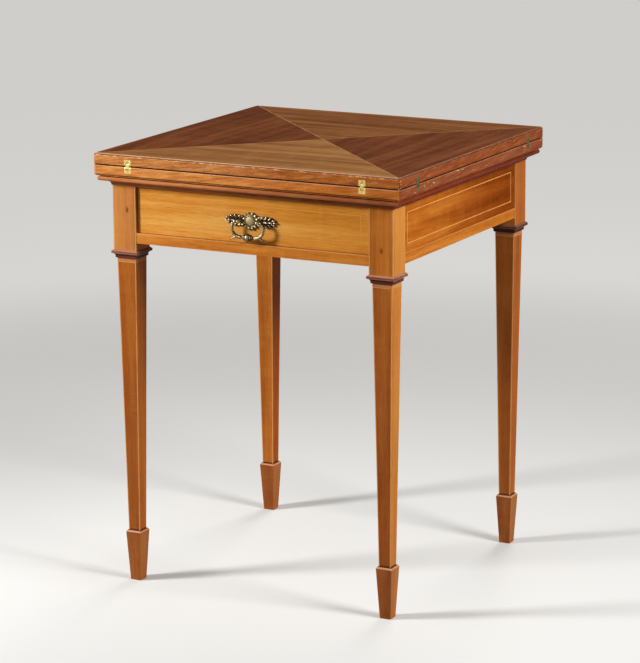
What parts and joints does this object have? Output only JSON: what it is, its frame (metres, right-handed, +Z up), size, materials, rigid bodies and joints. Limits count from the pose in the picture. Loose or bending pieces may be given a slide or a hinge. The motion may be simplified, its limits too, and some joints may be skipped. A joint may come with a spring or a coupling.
{
  "type": "games table",
  "caption": "Square swivelling card table whose triangular leaves fold out like an envelope, with a frieze drawer, bail handle and tapered legs on spade feet.",
  "frame": {"origin": "floor level under the centre of the square top", "axes": "+Z up, -Y to the drawer front, +X to the right of someone facing the drawer"},
  "size_m": [0.56, 0.56, 0.735],
  "materials": {
    "top_wood": "polished",
    "frame_wood": "polished",
    "moulding_wood": "polished",
    "lining_wood": "bare",
    "stringing": "polished",
    "baize": "napped",
    "felt": "napped",
    "brass": "aged",
    "steel": "bare"
  },
  "bodies": {
    "frame": {"leg_front_left": "frame_wood", "leg_front_right": "frame_wood", "leg_back_left": "frame_wood", "leg_back_right": "frame_wood", "spade_feet": "frame_wood", "leg_collars": "moulding_wood", "leg_stringing": "stringing", "apron_left": "frame_wood", "apron_right": "frame_wood", "apron_back": "frame_wood", "apron_edge_strips": "frame_wood", "apron_stringing": "stringing", "front_rail": "frame_wood", "front_top_rail": "frame_wood", "sub_top": "moulding_wood", "cornice_moulding": "moulding_wood", "pivot_bearer": "lining_wood", "drawer_runners": "lining_wood", "drawer_kickers": "lining_wood", "drawer_stops": "lining_wood", "glide_pads": "felt"},
    "bed": {"bed_panel": "top_wood", "bed_baize": "baize", "bed_hinge_plates": "brass", "bed_hinge_pins": "brass", "pivot_plate": "steel", "pivot_screws": "steel", "pivot_washer": "steel", "pivot_nut": "steel", "stop_peg": "lining_wood"},
    "drawer": {"drawer_front": "frame_wood", "drawer_side_left": "lining_wood", "drawer_side_right": "lining_wood", "drawer_back": "lining_wood", "drawer_bottom": "lining_wood", "drawer_stringing": "stringing", "handle_plate": "brass", "handle_posts": "brass", "handle_nuts": "brass"},
    "bail": {"handle_bail": "brass"},
    "links_front": {"hinge_links_front": "brass"},
    "leaf_front": {"leaf_front": "top_wood", "leaf_front_baize": "baize", "leaf_front_hinge_plates": "brass", "leaf_front_hinge_pins": "brass"},
    "links_right": {"hinge_links_right": "brass"},
    "leaf_right": {"leaf_right": "top_wood", "leaf_right_baize": "baize", "leaf_right_hinge_plates": "brass", "leaf_right_hinge_pins": "brass"},
    "links_back": {"hinge_links_back": "brass"},
    "leaf_back": {"leaf_back": "top_wood", "leaf_back_baize": "baize", "leaf_back_hinge_plates": "brass", "leaf_back_hinge_pins": "brass"},
    "links_left": {"hinge_links_left": "brass"},
    "leaf_left": {"leaf_left": "top_wood", "leaf_left_baize": "baize", "leaf_left_hinge_plates": "brass", "leaf_left_hinge_pins": "brass"}
  },
  "joints": [
    {"name": "top_swivel", "type": "hinge", "parent": "frame", "child": "bed", "pos_m": [0, 0, 0.6923], "axis": [0, 0, 1], "range_deg": [0, 45]},
    {"name": "drawer_slide", "type": "slide", "parent": "frame", "child": "drawer", "axis": [0, -1, 0], "range_m": [0, 0.3]},
    {"name": "bail_swing", "type": "hinge", "parent": "drawer", "child": "bail", "pos_m": [0, -0.265, 0.6395], "axis": [-1, 0, 0], "range_deg": [0, 90]},
    {"name": "link_front_turn", "type": "hinge", "parent": "bed", "child": "links_front", "pos_m": [0, -0.2775, 0.7133], "axis": [1, 0, 0], "range_deg": [0, 90]},
    {"name": "leaf_front_turn", "type": "hinge", "parent": "links_front", "child": "leaf_front", "pos_m": [0, -0.2775, 0.7195], "axis": [1, 0, 0], "range_deg": [0, 90]},
    {"name": "link_right_turn", "type": "hinge", "parent": "bed", "child": "links_right", "pos_m": [0.2775, 0, 0.7133], "axis": [0, 1, 0], "range_deg": [0, 90]},
    {"name": "leaf_right_turn", "type": "hinge", "parent": "links_right", "child": "leaf_right", "pos_m": [0.2775, 0, 0.7195], "axis": [0, 1, 0], "range_deg": [0, 90]},
    {"name": "link_back_turn", "type": "hinge", "parent": "bed", "child": "links_back", "pos_m": [0, 0.2775, 0.7133], "axis": [-1, 0, 0], "range_deg": [0, 90]},
    {"name": "leaf_back_turn", "type": "hinge", "parent": "links_back", "child": "leaf_back", "pos_m": [0, 0.2775, 0.7195], "axis": [-1, 0, 0], "range_deg": [0, 90]},
    {"name": "link_left_turn", "type": "hinge", "parent": "bed", "child": "links_left", "pos_m": [-0.2775, 0, 0.7133], "axis": [0, -1, 0], "range_deg": [0, 90]},
    {"name": "leaf_left_turn", "type": "hinge", "parent": "links_left", "child": "leaf_left", "pos_m": [-0.2775, 0, 0.7195], "axis": [0, -1, 0], "range_deg": [0, 90]}
  ],
  "couplings": [
    {"joint": "leaf_front_turn", "follows": "link_front_turn", "ratio": 1},
    {"joint": "leaf_right_turn", "follows": "link_right_turn", "ratio": 1},
    {"joint": "leaf_back_turn", "follows": "link_back_turn", "ratio": 1},
    {"joint": "leaf_left_turn", "follows": "link_left_turn", "ratio": 1}
  ]
}
